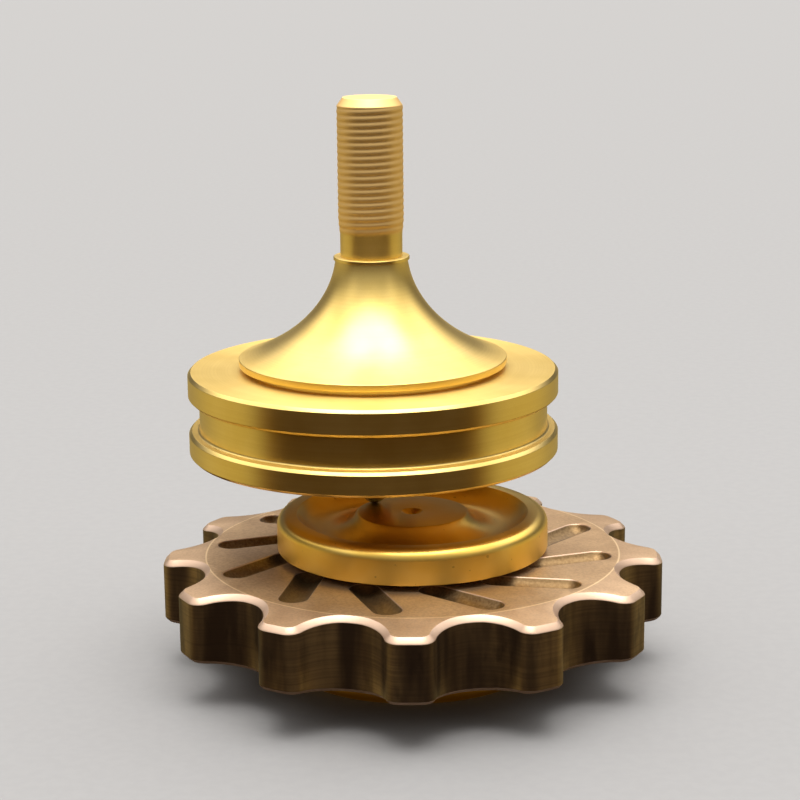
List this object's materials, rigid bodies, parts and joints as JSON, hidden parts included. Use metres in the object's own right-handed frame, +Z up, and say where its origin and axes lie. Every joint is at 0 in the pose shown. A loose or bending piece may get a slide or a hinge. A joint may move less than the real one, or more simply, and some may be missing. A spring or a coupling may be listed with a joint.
{
  "type": "spinning top",
  "caption": "Turned brass spinning top with a threaded stem, standing on a ball-bearing finger spinner with a toothed bronze wheel.",
  "frame": {"origin": "centre of the lower cap's resting face, on the spinner's own axis, at the table", "axes": "+Z up along the wheel's axis and the stem; the viewer stands on the -Y side, with +X to the viewer's right"},
  "size_m": [0.0462, 0.0462, 0.0522],
  "materials": {
    "top_brass": "satin, fine turned and blasted",
    "cap_brass": "satin, fine turned",
    "wheel_bronze": "aged satin with bright edges",
    "bearing_steel": "polished",
    "plain_steel": "satin",
    "cage_brass": "satin"
  },
  "bodies": {
    "stand": {"upper_cap": "cap_brass", "lower_cap": "cap_brass", "cap_screw": "plain_steel", "bearing_inner_ring": "bearing_steel"},
    "wheel": {"toothed_wheel": "wheel_bronze", "retaining_ring": "plain_steel", "bearing_outer_ring": "bearing_steel", "upper_shield": "plain_steel", "lower_shield": "plain_steel", "upper_shield_wire": "plain_steel", "lower_shield_wire": "plain_steel"},
    "cage": {"bearing_balls": "bearing_steel", "ball_cage": "cage_brass"},
    "tip": {"tip_ball": "bearing_steel"},
    "top": {"stem": "top_brass", "flared_collar": "top_brass", "flywheel": "top_brass", "nut_washer": "plain_steel", "clamp_nut": "top_brass", "tip_holder": "top_brass"}
  },
  "joints": [
    {"name": "wheel_spin", "type": "hinge", "parent": "stand", "child": "wheel", "pos_m": [0, 0, 0.0072], "axis": [0, 0, 1], "continuous": true},
    {"name": "cage_spin", "type": "hinge", "parent": "stand", "child": "cage", "pos_m": [0, 0, 0.0072], "axis": [0, 0, 1], "continuous": true},
    {"name": "top_lift", "type": "slide", "parent": "stand", "child": "tip", "axis": [0, 0, 1], "range_m": [0, 0.03]},
    {"name": "top_spin", "type": "hinge", "parent": "tip", "child": "top", "pos_m": [-0.0035, 0.0031, 0.0156], "axis": [0, 0, 1], "continuous": true}
  ],
  "couplings": [
    {"joint": "cage_spin", "follows": "wheel_spin", "ratio": 0.58336}
  ]
}
